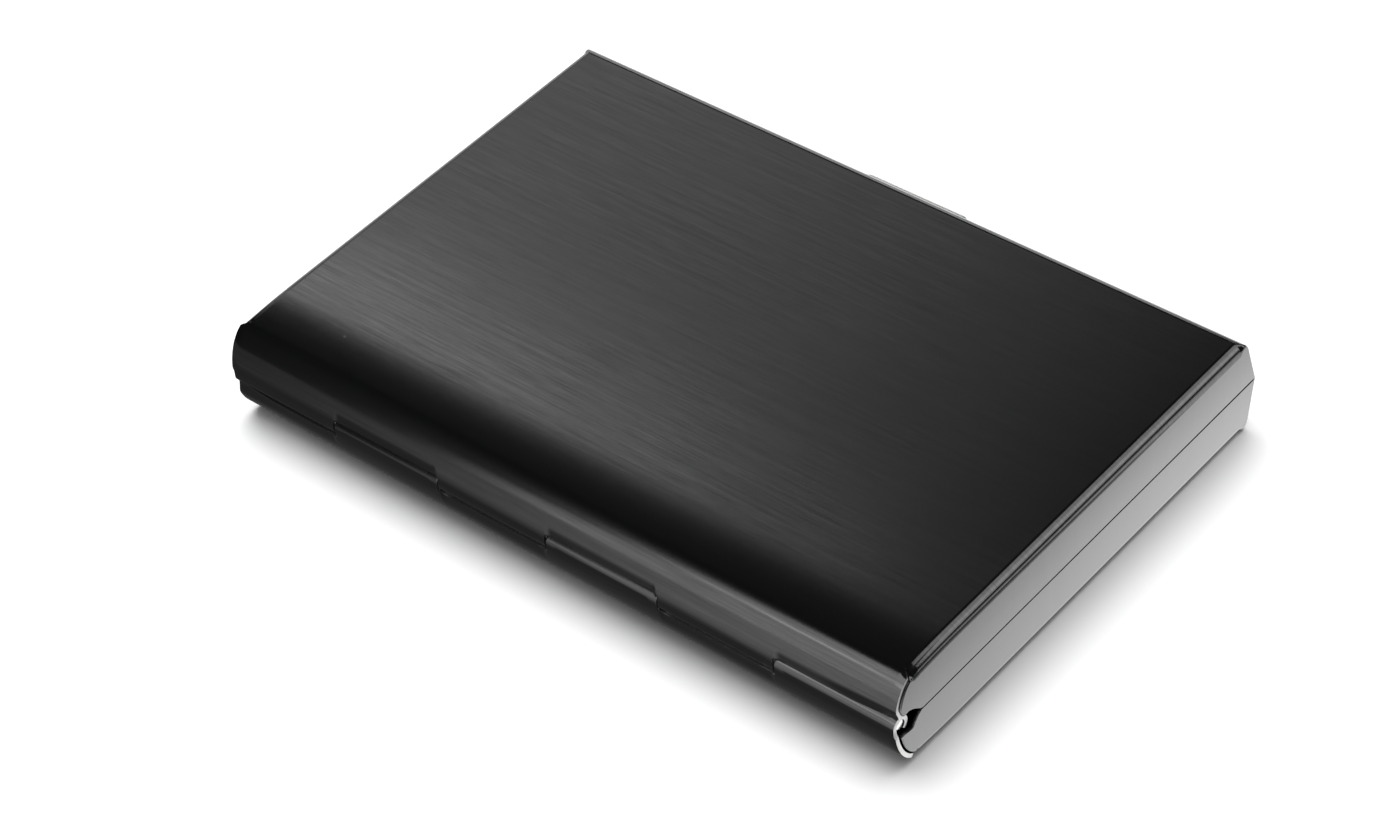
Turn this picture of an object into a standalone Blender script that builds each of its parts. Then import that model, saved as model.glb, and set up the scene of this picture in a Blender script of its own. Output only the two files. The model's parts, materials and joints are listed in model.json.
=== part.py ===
"""Hinged metal card case with an accordion card holder inside.

Two pressed sheet shells meet at a seam halfway up. Their rolled long edges carry three hinge
tongues each, which curl round one steel pin. A sprung thumb button in the opposite wall holds
the lid shut, and seven thin panels inside fan out into six card pockets as it opens.

+X runs along the hinge, -Y is the hinge side, +Y the opening side, +Z up. The origin is at the
bottom centre of the closed case. Lengths are in metres.
"""

import math

import bmesh
import bpy
from mathutils import Matrix, Vector

MM = 0.001

# Driving dimensions
LENGTH = 96.0 * MM
DEPTH = 67.0 * MM
HEIGHT = 13.0 * MM
SHEET = 0.5 * MM
CARD_WIDTH = 54.0 * MM
CARD_LENGTH = 85.6 * MM
POCKETS = 6
TONGUES = 6
PIN_RADIUS = 0.65 * MM
CURL_RADIUS = 1.2 * MM
CLEARANCE = 0.3 * MM
SEAM_GAP = 0.2 * MM
BUTTON_LENGTH = 16.0 * MM
BUTTON_HEIGHT = 6.3 * MM
BUTTON_PROUD = 1.6 * MM

# Shells and hinge
SEAM_Z = HEIGHT / 2
HINGE_Y = -DEPTH / 2 + CURL_RADIUS
ROLL_Y = -DEPTH / 2 + 0.3 * MM
ROLL_DEPTH = 4.4 * MM
FRONT_Y = DEPTH / 2 - BUTTON_PROUD
FRONT_SLOPE = 1.6 * MM
FRONT_ANGLE = math.atan2(FRONT_SLOPE, SEAM_Z)
FRONT_CORNER_RADIUS = 1.6 * MM
END_BEND_RADIUS = 1.3 * MM
BORE_RADIUS = PIN_RADIUS + 0.1 * MM
TONGUE_REACH = CURL_RADIUS + CLEARANCE
HINGE_END = LENGTH / 2 - CLEARANCE
HINGE_OPENING_RADIUS = 1.9 * MM
HINGE_OPENING_SHIFT = 1.6 * MM

# Accordion card holder
PANEL = 0.4 * MM
PANEL_HALF_LENGTH = LENGTH / 2 - SHEET - 0.6 * MM
PANEL_BACK_Y = HINGE_Y + 4.3 * MM
PANEL_FRONT_Y = PANEL_BACK_Y + CARD_WIDTH + 1.3 * MM
PANEL_CORNER_RADIUS = 2.0 * MM
LOWEST_PANEL_Z = SHEET + CLEARANCE + PANEL / 2
PANEL_PITCH = (HEIGHT - 2 * LOWEST_PANEL_Z) / POCKETS
WEB = PANEL_PITCH - PANEL - 2 * CLEARANCE
SPINE_WIDTH = 0.8 * MM

# Thumb button and latch, listed from the outside in
BUTTON_BACK_Y = FRONT_Y - 2.1 * MM
BUTTON_EDGE_RADIUS = 0.8 * MM
NOTCH_LENGTH = BUTTON_LENGTH + 2 * CLEARANCE
NOTCH_HEIGHT = BUTTON_HEIGHT + 2 * CLEARANCE
STRIKER = 0.4 * MM
STRIKER_LENGTH = 26.0 * MM
STRIKER_LOW_Z = SEAM_Z + 1.3 * MM
STRIKER_HIGH_Z = SEAM_Z + 4.5 * MM
PLATE = 0.4 * MM
PLATE_FRONT_Y = BUTTON_BACK_Y - CLEARANCE
PLATE_LENGTH = 24.0 * MM
PLATE_LOW_Z = SEAM_Z - 3.9 * MM
PLATE_HIGH_Z = SEAM_Z + 2.5 * MM
HOOK_REACH = 0.3 * MM
HOOK_INNER_X = PLATE_LENGTH / 2 - 3.0 * MM
RIVET_X = 6.0 * MM
RIVET_RADIUS = 0.5 * MM
RIVET_HEAD_RADIUS = 1.0 * MM
RIVET_GAP = 0.1 * MM
BRACKET = 0.35 * MM
BRACKET_BACK_Y = PANEL_FRONT_Y + 0.25 * MM
BRACKET_FRONT_Y = BRACKET_BACK_Y + BRACKET
BRACKET_LOW_Z = SHEET + CLEARANCE
BRACKET_HIGH_Z = SEAM_Z + 3.1 * MM
SPRING = 0.15 * MM
SPRING_LENGTH = 18.0 * MM
SPRING_HEIGHT = 3.0 * MM


def fresh_collections():
    """Empty the scene and return the collections for the parts and for their cutters."""
    for old in list(bpy.data.objects):
        bpy.data.objects.remove(old, do_unlink=True)
    made = []
    for name in ("card_case", "card_case_cutters"):
        collection = bpy.data.collections.new(name)
        bpy.context.scene.collection.children.link(collection)
        made.append(collection)
    return made


PARTS, CUTTERS = fresh_collections()


def material(name, colour, metallic, roughness):
    """One Principled BSDF per finish."""
    made = bpy.data.materials.new(name)
    made.use_nodes = True
    shader = made.node_tree.nodes["Principled BSDF"]
    shader.inputs["Base Color"].default_value = (*colour, 1.0)
    shader.inputs["Metallic"].default_value = metallic
    shader.inputs["Roughness"].default_value = roughness
    return made


BLACK_STEEL = material("black_brushed_steel", (0.035, 0.035, 0.037), 0.9, 0.38)
BRIGHT_STEEL = material("bright_steel", (0.62, 0.62, 0.61), 1.0, 0.28)
SILVER_STEEL = material("silver_brushed_steel", (0.75, 0.75, 0.74), 1.0, 0.3)
SPRING_STEEL = material("spring_steel", (0.42, 0.41, 0.4), 1.0, 0.35)
BLACK_PLASTIC = material("black_plastic", (0.02, 0.02, 0.022), 0.0, 0.5)
WEB_FILM = material("web_film", (0.03, 0.03, 0.033), 0.0, 0.6)


def empty(name, location):
    """A joint frame: the pieces parented to it move about this point."""
    made = bpy.data.objects.new(name, None)
    made.empty_display_size = 5 * MM
    made.location = location
    PARTS.objects.link(made)
    return made


LOWER_FRAME = empty("lower_case_frame", (0, 0, 0))
LID_AXIS = empty("lid_axis", (0, HINGE_Y, SEAM_Z))
BUTTON_AXIS = empty("button_axis", (0, PLATE_FRONT_Y, SEAM_Z))


def piece(bm, name, frame, look):
    """Turn a bmesh in world coordinates into a part whose origin is its joint frame's."""
    bmesh.ops.translate(bm, verts=bm.verts, vec=-frame.location)
    mesh = bpy.data.meshes.new(name)
    bm.to_mesh(mesh)
    bm.free()
    mesh.materials.append(look)
    mesh.shade_smooth()
    mesh.set_sharp_from_angle(angle=math.radians(30))
    made = bpy.data.objects.new(name, mesh)
    made.parent = frame
    PARTS.objects.link(made)
    return made


def helper(bm, name):
    """Turn a bmesh into a wire-drawn helper for a Boolean."""
    mesh = bpy.data.meshes.new(name)
    bm.to_mesh(mesh)
    bm.free()
    made = bpy.data.objects.new(name, mesh)
    made.hide_render = True
    made.display_type = "WIRE"
    CUTTERS.objects.link(made)
    return made


def combine(target, operation, bm, name):
    """Add a bmesh to a part, or cut it away, with a live Boolean."""
    boolean = target.modifiers.new(name, "BOOLEAN")
    boolean.operation = operation
    boolean.solver = "EXACT"
    boolean.object = helper(bm, f"{target.name}_{name}")


def box(low, high):
    """A bmesh box between two corners."""
    bm = bmesh.new()
    bmesh.ops.create_cube(bm, size=1.0)
    size = [abs(b - a) for a, b in zip(low, high)]
    bmesh.ops.scale(bm, verts=bm.verts, vec=size)
    bmesh.ops.translate(bm, verts=bm.verts, vec=(Vector(low) + Vector(high)) / 2)
    return bm


def rod(radius, start, end, segments=24):
    """A bmesh cylinder between two points."""
    start, end = Vector(start), Vector(end)
    bm = bmesh.new()
    length = (end - start).length
    bmesh.ops.create_cone(
        bm, cap_ends=True, segments=segments, radius1=radius, radius2=radius, depth=length
    )
    turn = Vector((0, 0, 1)).rotation_difference(end - start).to_matrix()
    bmesh.ops.rotate(bm, verts=bm.verts, matrix=turn)
    bmesh.ops.translate(bm, verts=bm.verts, vec=(start + end) / 2)
    return bm


def together(*pieces):
    """One bmesh that holds several."""
    whole, *others = pieces
    for other in others:
        loose = bpy.data.meshes.new("loose")
        other.to_mesh(loose)
        other.free()
        whole.from_mesh(loose)
        bpy.data.meshes.remove(loose)
    return whole


def plate(points, thickness, standing=False):
    """A bmesh plate from a flat outline: lying in XY, or standing in YZ with its thickness along X."""
    curve = bpy.data.curves.new("outline", "CURVE")
    curve.dimensions = "2D"
    curve.fill_mode = "BOTH"
    curve.extrude = thickness / 2
    spline = curve.splines.new("POLY")
    spline.points.add(len(points) - 1)
    for point, (u, v) in zip(spline.points, points):
        point.co = (u, v, 0, 1)
    spline.use_cyclic_u = True
    drawn = bpy.data.objects.new("outline", curve)
    PARTS.objects.link(drawn)
    graph = bpy.context.evaluated_depsgraph_get()
    mesh = bpy.data.meshes.new_from_object(drawn.evaluated_get(graph))
    bpy.data.objects.remove(drawn)
    bpy.data.curves.remove(curve)
    bm = bmesh.new()
    bm.from_mesh(mesh)
    bpy.data.meshes.remove(mesh)
    bmesh.ops.remove_doubles(bm, verts=bm.verts, dist=0.001 * MM)
    bmesh.ops.dissolve_limit(bm, angle_limit=math.radians(0.5), verts=bm.verts, edges=bm.edges)
    if standing:
        stand = Matrix(((0, 0, 1), (1, 0, 0), (0, 1, 0)))
        bmesh.ops.rotate(bm, verts=bm.verts, matrix=stand)
    bmesh.ops.recalc_face_normals(bm, faces=bm.faces)
    return bm


def arc(centre, radii, start, end, steps):
    """Points along an ellipse's arc, its angles in degrees from the first axis to the second."""
    found = []
    for step in range(steps + 1):
        angle = math.radians(start + (end - start) * step / steps)
        found.append((centre[0] + radii[0] * math.cos(angle), centre[1] + radii[1] * math.sin(angle)))
    return found


def front_wall_y(z, inset):
    """Y of the sloping front wall at a height above the seam, moved inwards by inset."""
    return FRONT_Y - inset / math.cos(FRONT_ANGLE) - (z - SEAM_Z) * math.tan(FRONT_ANGLE)


def shell_section(inset, low_z):
    """The upper shell's outline in YZ: rolled hinge side, flat top, rounded corner, front wall.

    inset moves it inwards by the sheet's thickness, and low_z is where its open side ends."""
    top = HEIGHT - inset
    roll = arc((ROLL_Y + ROLL_DEPTH, SEAM_Z), (ROLL_DEPTH - inset, top - SEAM_Z), 180, 90, 14)
    radius = FRONT_CORNER_RADIUS - inset
    setback = radius * math.tan((math.pi / 2 - FRONT_ANGLE) / 2)
    corner_centre = (front_wall_y(top, inset) - setback, top - radius)
    corner = arc(corner_centre, (radius, radius), 90, math.degrees(FRONT_ANGLE), 5)
    return [(roll[0][0], low_z), *roll[1:], *corner, (front_wall_y(low_z, inset), low_z)]


def half_case(inset, low_z, upside_down):
    """The solid that fills one shell's outline, with its two ends bent over."""
    half_length = LENGTH / 2 - inset
    bm = plate(shell_section(inset, low_z), 2 * half_length, standing=True)
    rim = []
    for edge in bm.edges:
        first, second = (v.co for v in edge.verts)
        across = abs(first.x - second.x) < 0.01 * MM
        at_seam = max(first.z, second.z) < low_z + 0.01 * MM
        if across and not at_seam:
            rim.append(edge)
    bmesh.ops.bevel(
        bm, geom=rim, affect="EDGES", offset=END_BEND_RADIUS - inset, segments=4, profile=0.5
    )
    if upside_down:
        bmesh.ops.scale(bm, verts=bm.verts, vec=(1, 1, -1))
        bmesh.ops.translate(bm, verts=bm.verts, vec=(0, 0, 2 * SEAM_Z))
        bmesh.ops.reverse_faces(bm, faces=bm.faces)
    return bm


def tongue_spans(first):
    """(x0, x1) of every second tongue along the hinge."""
    width = 2 * HINGE_END / TONGUES
    return [(i * width - HINGE_END, (i + 1) * width - HINGE_END) for i in range(first, TONGUES, 2)]


def shell(name, frame, own, other, upside_down):
    """A pressed half: bent ends, three curled hinge tongues and half of the button's notch."""
    seam_edge = SEAM_Z + SEAM_GAP / 2
    made = piece(half_case(0, seam_edge, upside_down), name, frame, BLACK_STEEL)
    combine(made, "DIFFERENCE", half_case(SHEET, SEAM_Z - 1 * MM, upside_down), "hollow")
    low_y, high_y = -DEPTH / 2 - 1 * MM, HINGE_Y + TONGUE_REACH
    low_z, high_z = SEAM_Z - TONGUE_REACH, SEAM_Z + TONGUE_REACH
    gaps = [
        box((x0 - CLEARANCE / 2, low_y, low_z), (x1 + CLEARANCE / 2, high_y, high_z)) for x0, x1 in other
    ]
    combine(made, "DIFFERENCE", together(*gaps), "tongue_gaps")
    reach = LENGTH / 2 + 1 * MM
    opening_y = HINGE_Y + HINGE_OPENING_SHIFT
    opening = rod(HINGE_OPENING_RADIUS, (-reach, opening_y, SEAM_Z), (reach, opening_y, SEAM_Z))
    combine(made, "DIFFERENCE", opening, "hinge_opening")
    end_inner_x = LENGTH / 2 - SHEET - CLEARANCE
    end_gaps = [
        box((side * end_inner_x, low_y, low_z), (side * reach, HINGE_Y, high_z)) for side in (-1, 1)
    ]
    combine(made, "DIFFERENCE", together(*end_gaps), "end_gaps")
    half_notch = NOTCH_LENGTH / 2
    notch_low, notch_high = SEAM_Z - NOTCH_HEIGHT / 2, SEAM_Z + NOTCH_HEIGHT / 2
    notch = box((-half_notch, BUTTON_BACK_Y, notch_low), (half_notch, DEPTH / 2 + 1 * MM, notch_high))
    combine(made, "DIFFERENCE", notch, "button_notch")
    curls = [
        rod(CURL_RADIUS, (x0 + CLEARANCE / 2, HINGE_Y, SEAM_Z), (x1 - CLEARANCE / 2, HINGE_Y, SEAM_Z))
        for x0, x1 in own
    ]
    combine(made, "UNION", together(*curls), "curls")
    bore = rod(BORE_RADIUS, (-reach, HINGE_Y, SEAM_Z), (reach, HINGE_Y, SEAM_Z))
    combine(made, "DIFFERENCE", bore, "pin_bore")
    return made


def hinge_pin():
    """A plain steel wire through all six curls, a little short of the case's ends."""
    end = HINGE_END - 0.4 * MM
    wire = rod(PIN_RADIUS, (-end, HINGE_Y, SEAM_Z), (end, HINGE_Y, SEAM_Z))
    piece(wire, "hinge_pin", LOWER_FRAME, BRIGHT_STEEL)


def rivet_holes(low_y, high_y, radius):
    """Two cylinders on the rivets' axes."""
    return together(
        *[rod(radius, (x, low_y, SEAM_Z), (x, high_y, SEAM_Z), 16) for x in (-RIVET_X, RIVET_X)]
    )


def thumb_button():
    """The silver block that the thumb presses, its outer edges rounded, riveted from behind."""
    half_length, half_height = BUTTON_LENGTH / 2, BUTTON_HEIGHT / 2
    low = (-half_length, BUTTON_BACK_Y, SEAM_Z - half_height)
    high = (half_length, DEPTH / 2, SEAM_Z + half_height)
    bm = box(low, high)
    outer = [e for e in bm.edges if any(v.co.y > FRONT_Y for v in e.verts)]
    bmesh.ops.bevel(bm, geom=outer, affect="EDGES", offset=BUTTON_EDGE_RADIUS, segments=3, profile=0.5)
    made = piece(bm, "thumb_button", BUTTON_AXIS, SILVER_STEEL)
    holes = rivet_holes(BUTTON_BACK_Y - 1 * MM, FRONT_Y + RIVET_GAP, RIVET_RADIUS + RIVET_GAP)
    combine(made, "DIFFERENCE", holes, "rivet_holes")


def latch_plate():
    """A flat plate behind the front wall, whose two hooks reach over the lid's striker."""
    back_y, tip_y = PLATE_FRONT_Y - PLATE, PLATE_FRONT_Y + HOOK_REACH
    hook_z = PLATE_HIGH_Z - PLATE
    section = [
        (back_y, PLATE_LOW_Z),
        (PLATE_FRONT_Y, PLATE_LOW_Z),
        (PLATE_FRONT_Y, hook_z),
        (tip_y, hook_z),
        (tip_y, PLATE_HIGH_Z),
        (back_y, PLATE_HIGH_Z),
    ]
    made = piece(plate(section, PLATE_LENGTH, standing=True), "latch_plate", BUTTON_AXIS, SPRING_STEEL)
    gap_low = (-HOOK_INNER_X, PLATE_FRONT_Y, hook_z - 0.1 * MM)
    over_button = box(gap_low, (HOOK_INNER_X, FRONT_Y, PLATE_HIGH_Z + 1 * MM))
    combine(made, "DIFFERENCE", over_button, "between_hooks")
    holes = rivet_holes(back_y - 1 * MM, tip_y + 1 * MM, RIVET_RADIUS + RIVET_GAP)
    combine(made, "DIFFERENCE", holes, "rivet_holes")


def button_rivets():
    """Two round-headed rivets that hold the button on the latch plate."""
    head_y = PLATE_FRONT_Y - PLATE - RIVET_GAP
    for x, side in ((-RIVET_X, "left"), (RIVET_X, "right")):
        head = rod(RIVET_HEAD_RADIUS, (x, head_y - 0.25 * MM, SEAM_Z), (x, head_y, SEAM_Z), 16)
        made = piece(head, f"button_rivet_{side}", BUTTON_AXIS, BRIGHT_STEEL)
        shank = rod(RIVET_RADIUS, (x, head_y - 0.1 * MM, SEAM_Z), (x, FRONT_Y, SEAM_Z), 16)
        combine(made, "UNION", shank, "shank")


def latch_bracket():
    """A channel welded to the floor: its back wall takes the spring, its ears guide the plate."""
    inner_x = PLATE_LENGTH / 2 + CLEARANCE
    outer_x = inner_x + BRACKET
    channel = [
        (-outer_x, BRACKET_BACK_Y),
        (outer_x, BRACKET_BACK_Y),
        (outer_x, PLATE_FRONT_Y),
        (inner_x, PLATE_FRONT_Y),
        (inner_x, BRACKET_FRONT_Y),
        (-inner_x, BRACKET_FRONT_Y),
        (-inner_x, PLATE_FRONT_Y),
        (-outer_x, PLATE_FRONT_Y),
    ]
    ear_low_z = BRACKET_LOW_Z + 0.8 * MM
    bm = plate(channel, BRACKET_HIGH_Z - ear_low_z)
    bmesh.ops.translate(bm, verts=bm.verts, vec=(0, 0, (BRACKET_HIGH_Z + ear_low_z) / 2))
    made = piece(bm, "latch_bracket", LOWER_FRAME, SPRING_STEEL)
    foot_front_y = BRACKET_FRONT_Y + 1.1 * MM
    foot_section = [
        (BRACKET_BACK_Y, BRACKET_LOW_Z),
        (foot_front_y, BRACKET_LOW_Z),
        (foot_front_y, BRACKET_LOW_Z + BRACKET),
        (BRACKET_FRONT_Y, BRACKET_LOW_Z + BRACKET),
        (BRACKET_FRONT_Y, ear_low_z + BRACKET),
        (BRACKET_BACK_Y, ear_low_z + BRACKET),
    ]
    combine(made, "UNION", plate(foot_section, 2 * outer_x, standing=True), "foot")
    windows = rivet_holes(BRACKET_BACK_Y - 1 * MM, BRACKET_FRONT_Y + 1 * MM, RIVET_HEAD_RADIUS + CLEARANCE)
    combine(made, "DIFFERENCE", windows, "rivet_head_windows")


def latch_spring():
    """A bowed leaf spring: its ends bear on the bracket and its middle pushes the latch plate."""
    low_y = BRACKET_FRONT_Y + 0.1 * MM
    rise = PLATE_FRONT_Y - PLATE - 0.1 * MM - SPRING - low_y
    steps = 12
    front, back = [], []
    for step in range(steps + 1):
        x = SPRING_LENGTH * (step / steps - 0.5)
        y = low_y + rise * math.cos(math.pi * x / SPRING_LENGTH) ** 2
        back.append((x, y))
        front.append((x, y + SPRING))
    bm = plate(back + front[::-1], SPRING_HEIGHT)
    bmesh.ops.translate(bm, verts=bm.verts, vec=(0, 0, SEAM_Z))
    piece(bm, "latch_spring", LOWER_FRAME, SPRING_STEEL)


def striker_plate():
    """A strip welded inside the lid's front wall, with a lip on each side of the button."""

    def face_y(z, depth):
        return front_wall_y(z, SHEET + CLEARANCE + depth)

    lip_y = PLATE_FRONT_Y + HOOK_REACH + 0.1 * MM
    lip_z = STRIKER_LOW_Z + STRIKER
    section = [
        (lip_y, STRIKER_LOW_Z),
        (face_y(STRIKER_LOW_Z, 0), STRIKER_LOW_Z),
        (face_y(STRIKER_HIGH_Z, 0), STRIKER_HIGH_Z),
        (face_y(STRIKER_HIGH_Z, STRIKER), STRIKER_HIGH_Z),
        (face_y(lip_z, STRIKER), lip_z),
        (lip_y, lip_z),
    ]
    made = piece(plate(section, STRIKER_LENGTH, standing=True), "striker_plate", LID_AXIS, SPRING_STEEL)
    half_gap, gap_high_z = NOTCH_LENGTH / 2 + CLEARANCE, SEAM_Z + NOTCH_HEIGHT / 2 + CLEARANCE
    over_button = box((-half_gap, BUTTON_BACK_Y - 1 * MM, SEAM_Z), (half_gap, FRONT_Y, gap_high_z))
    combine(made, "DIFFERENCE", over_button, "button_gap")


def pocket_panel(number, frame):
    """One thin panel of the accordion, its corners rounded, at its height in the closed stack."""
    z = LOWEST_PANEL_Z + (number - 1) * PANEL_PITCH
    bm = box(
        (-PANEL_HALF_LENGTH, PANEL_BACK_Y, z - PANEL / 2), (PANEL_HALF_LENGTH, PANEL_FRONT_Y, z + PANEL / 2)
    )
    corners = [e for e in bm.edges if abs(e.verts[0].co.z - e.verts[1].co.z) > PANEL / 2]
    bmesh.ops.bevel(bm, geom=corners, affect="EDGES", offset=PANEL_CORNER_RADIUS, segments=3, profile=0.5)
    piece(bm, f"pocket_panel_{number}", frame, BLACK_PLASTIC)


def pocket_web(number, frame):
    """The folded film round three sides of a pocket, closed flat: it leaves a card's space free."""
    outer_x, inner_x = PANEL_HALF_LENGTH, CARD_LENGTH / 2
    back_y, front_y = PANEL_BACK_Y, PANEL_FRONT_Y - PANEL_CORNER_RADIUS
    outline = [
        (-outer_x, back_y + PANEL_CORNER_RADIUS),
        (-outer_x + PANEL_CORNER_RADIUS, back_y),
        (outer_x - PANEL_CORNER_RADIUS, back_y),
        (outer_x, back_y + PANEL_CORNER_RADIUS),
        (outer_x, front_y),
        (inner_x, front_y),
        (inner_x, back_y + SPINE_WIDTH),
        (-inner_x, back_y + SPINE_WIDTH),
        (-inner_x, front_y),
        (-outer_x, front_y),
    ]
    bm = plate(outline, WEB)
    z = LOWEST_PANEL_Z + (number - 0.5) * PANEL_PITCH
    bmesh.ops.translate(bm, verts=bm.verts, vec=(0, 0, z))
    piece(bm, f"pocket_web_{number}", frame, WEB_FILM)


def accordion():
    """Seven panels and six webs: the first panel is glued to the lower shell, the last to the lid."""
    for number in range(1, POCKETS + 2):
        frame = LOWER_FRAME if number == 1 else empty(f"panel_{number}_axis", LID_AXIS.location)
        pocket_panel(number, frame)
        if number <= POCKETS:
            pocket_web(number, frame)


shell("lower_shell", LOWER_FRAME, tongue_spans(1), tongue_spans(0), upside_down=True)
shell("upper_shell", LID_AXIS, tongue_spans(0), tongue_spans(1), upside_down=False)
hinge_pin()
thumb_button()
latch_plate()
button_rivets()
latch_bracket()
latch_spring()
striker_plate()
accordion()
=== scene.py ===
# %% [markdown]
# A slim metal card case: two pressed steel shells, hinged along one long edge on curled
# tongues round a steel pin, with a sprung silver button in the opposite wall and an accordion
# of seven thin panels inside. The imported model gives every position, and this notebook builds
# the visible pieces round it.

import json
import math

import bmesh
import bpy
from mathutils import Matrix, Vector


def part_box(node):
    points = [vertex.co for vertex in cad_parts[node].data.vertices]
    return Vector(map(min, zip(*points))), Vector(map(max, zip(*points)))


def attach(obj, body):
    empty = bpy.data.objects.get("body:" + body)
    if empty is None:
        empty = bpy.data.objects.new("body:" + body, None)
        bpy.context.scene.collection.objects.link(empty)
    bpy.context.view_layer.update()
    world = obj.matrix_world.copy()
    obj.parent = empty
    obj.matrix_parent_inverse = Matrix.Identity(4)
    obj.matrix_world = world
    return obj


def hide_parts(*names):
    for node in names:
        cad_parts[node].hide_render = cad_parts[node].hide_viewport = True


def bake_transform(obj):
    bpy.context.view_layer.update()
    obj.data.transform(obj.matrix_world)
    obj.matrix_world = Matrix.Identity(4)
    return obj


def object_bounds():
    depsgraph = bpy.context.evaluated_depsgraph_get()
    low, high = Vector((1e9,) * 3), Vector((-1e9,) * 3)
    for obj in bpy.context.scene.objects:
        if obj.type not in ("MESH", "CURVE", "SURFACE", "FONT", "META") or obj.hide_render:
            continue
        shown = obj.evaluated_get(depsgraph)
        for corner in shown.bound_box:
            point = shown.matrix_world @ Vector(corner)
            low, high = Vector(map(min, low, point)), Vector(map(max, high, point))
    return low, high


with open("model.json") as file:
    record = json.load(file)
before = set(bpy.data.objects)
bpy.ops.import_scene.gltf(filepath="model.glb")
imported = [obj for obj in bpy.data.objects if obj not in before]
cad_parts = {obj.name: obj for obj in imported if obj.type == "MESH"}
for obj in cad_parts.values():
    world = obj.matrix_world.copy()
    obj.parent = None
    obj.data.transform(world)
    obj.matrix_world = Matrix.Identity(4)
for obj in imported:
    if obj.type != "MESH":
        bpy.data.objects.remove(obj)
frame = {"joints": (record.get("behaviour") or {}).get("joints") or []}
case_low, case_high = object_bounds()
MM = 0.001
print("packed case, mm:", [round(side / MM, 2) for side in case_high - case_low])

# %% [markdown]
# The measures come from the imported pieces. The hinge axis belongs to the joint, and the seam
# between the shells lies at its height. X runs along the hinge, -Y is the hinge side, and Z is
# up.

# %% Take the measures
lid_low, lid_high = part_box("upper_shell")
base_low, base_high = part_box("lower_shell")
pin_low, pin_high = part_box("hinge_pin")
button_low, button_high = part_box("thumb_button")
hinge = next(joint for joint in frame["joints"] if joint["name"] == "lid_hinge")
HINGE_Y, SEAM_Z = hinge["pos_m"][1], hinge["pos_m"][2]
HALF_LENGTH = lid_high.x - 0.005 * MM
BACK_Y = lid_low.y
TOP_Z = lid_high.z
SHEET = 0.5 * MM
HALF_SEAM = 0.13 * MM
HALF_HEIGHT = TOP_Z - SEAM_Z
FRONT_LEAN = math.atan2(1.7 * MM, HALF_HEIGHT)
FRONT_Y = lid_high.y + HALF_SEAM * math.tan(FRONT_LEAN)
FRONT_CORNER = 1.8 * MM
ROLL_DEPTH = 3.6 * MM
ROLL_RISE = HALF_HEIGHT - 0.3 * MM
CROWN_Y = BACK_Y + 13.5 * MM
END_BEND = 1.3 * MM
CURL_RADIUS = HINGE_Y - BACK_Y
TONGUE_END = pin_high.x + 0.4 * MM
TONGUE_COUNT = 6
print("hinge at Y", round(HINGE_Y / MM, 2), "seam at Z", round(SEAM_Z / MM, 2))

# %% [markdown]
# ## Finishes
# An effect that several finishes share is a node group. Brushing steel drags grit along one
# direction, so the scratches are long and very thin: a noise texture squeezed across the grain
# and stretched along it gives the same look. The group hands out a height for bump and a tone
# that shifts colour and roughness a little.


# %% Node helpers
def node(tree, kind, links=(), **settings):
    """Add a node, set its properties, and link or set its inputs."""
    made = tree.nodes.new(kind)
    for name, value in settings.items():
        setattr(made, name, value)
    for socket, source in dict(links).items():
        if isinstance(source, bpy.types.NodeSocket):
            tree.links.new(source, made.inputs[socket])
        else:
            made.inputs[socket].default_value = source
    return made


def group(name, inputs, outputs):
    """A shader node group with named sockets: its tree, its input node and its output node."""
    tree = bpy.data.node_groups.new(name, "ShaderNodeTree")
    for socket, (kind, value) in inputs.items():
        made = tree.interface.new_socket(socket, in_out="INPUT", socket_type=kind)
        if value is not None:
            made.default_value = value
    for socket, kind in outputs.items():
        tree.interface.new_socket(socket, in_out="OUTPUT", socket_type=kind)
    return tree, tree.nodes.new("NodeGroupInput"), tree.nodes.new("NodeGroupOutput")


def math_node(tree, operation, first, second=0.0):
    """One arithmetic step, and its result."""
    made = node(tree, "ShaderNodeMath", operation=operation)
    for socket, source in zip(made.inputs, (first, second)):
        if isinstance(source, bpy.types.NodeSocket):
            tree.links.new(source, socket)
        else:
            socket.default_value = source
    return made.outputs[0]


FLOAT, VECTOR = "NodeSocketFloat", "NodeSocketVector"

# %% Brushed grain
grain, grain_in, grain_out = group(
    "brushed_grain",
    {"Vector": (VECTOR, None), "Length mm": (FLOAT, 6.0), "Width mm": (FLOAT, 0.12)},
    {"Height": FLOAT, "Tone": FLOAT},
)
along = math_node(grain, "DIVIDE", 1000.0, grain_in.outputs["Length mm"])
across = math_node(grain, "DIVIDE", 1000.0, grain_in.outputs["Width mm"])
stretch = node(grain, "ShaderNodeCombineXYZ", {"X": along, "Y": across, "Z": across})
dragged = node(
    grain,
    "ShaderNodeVectorMath",
    {0: grain_in.outputs["Vector"], 1: stretch.outputs[0]},
    operation="MULTIPLY",
)
fine = node(grain, "ShaderNodeTexNoise", {"Vector": dragged.outputs[0], "Scale": 1.0, "Detail": 3.0, "Roughness": 0.65})
broad = node(grain, "ShaderNodeTexNoise", {"Vector": dragged.outputs[0], "Scale": 0.22, "Detail": 2.0, "Roughness": 0.5})
patch = node(grain, "ShaderNodeTexNoise", {"Vector": grain_in.outputs["Vector"], "Scale": 60.0, "Detail": 2.0})
mixed = math_node(grain, "ADD", math_node(grain, "MULTIPLY", fine.outputs[0], 0.65), math_node(grain, "MULTIPLY", broad.outputs[0], 0.35))
grain.links.new(mixed, grain_out.inputs["Height"])
depth = math_node(grain, "ADD", math_node(grain, "MULTIPLY", patch.outputs[0], 1.4), 0.3)
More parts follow.
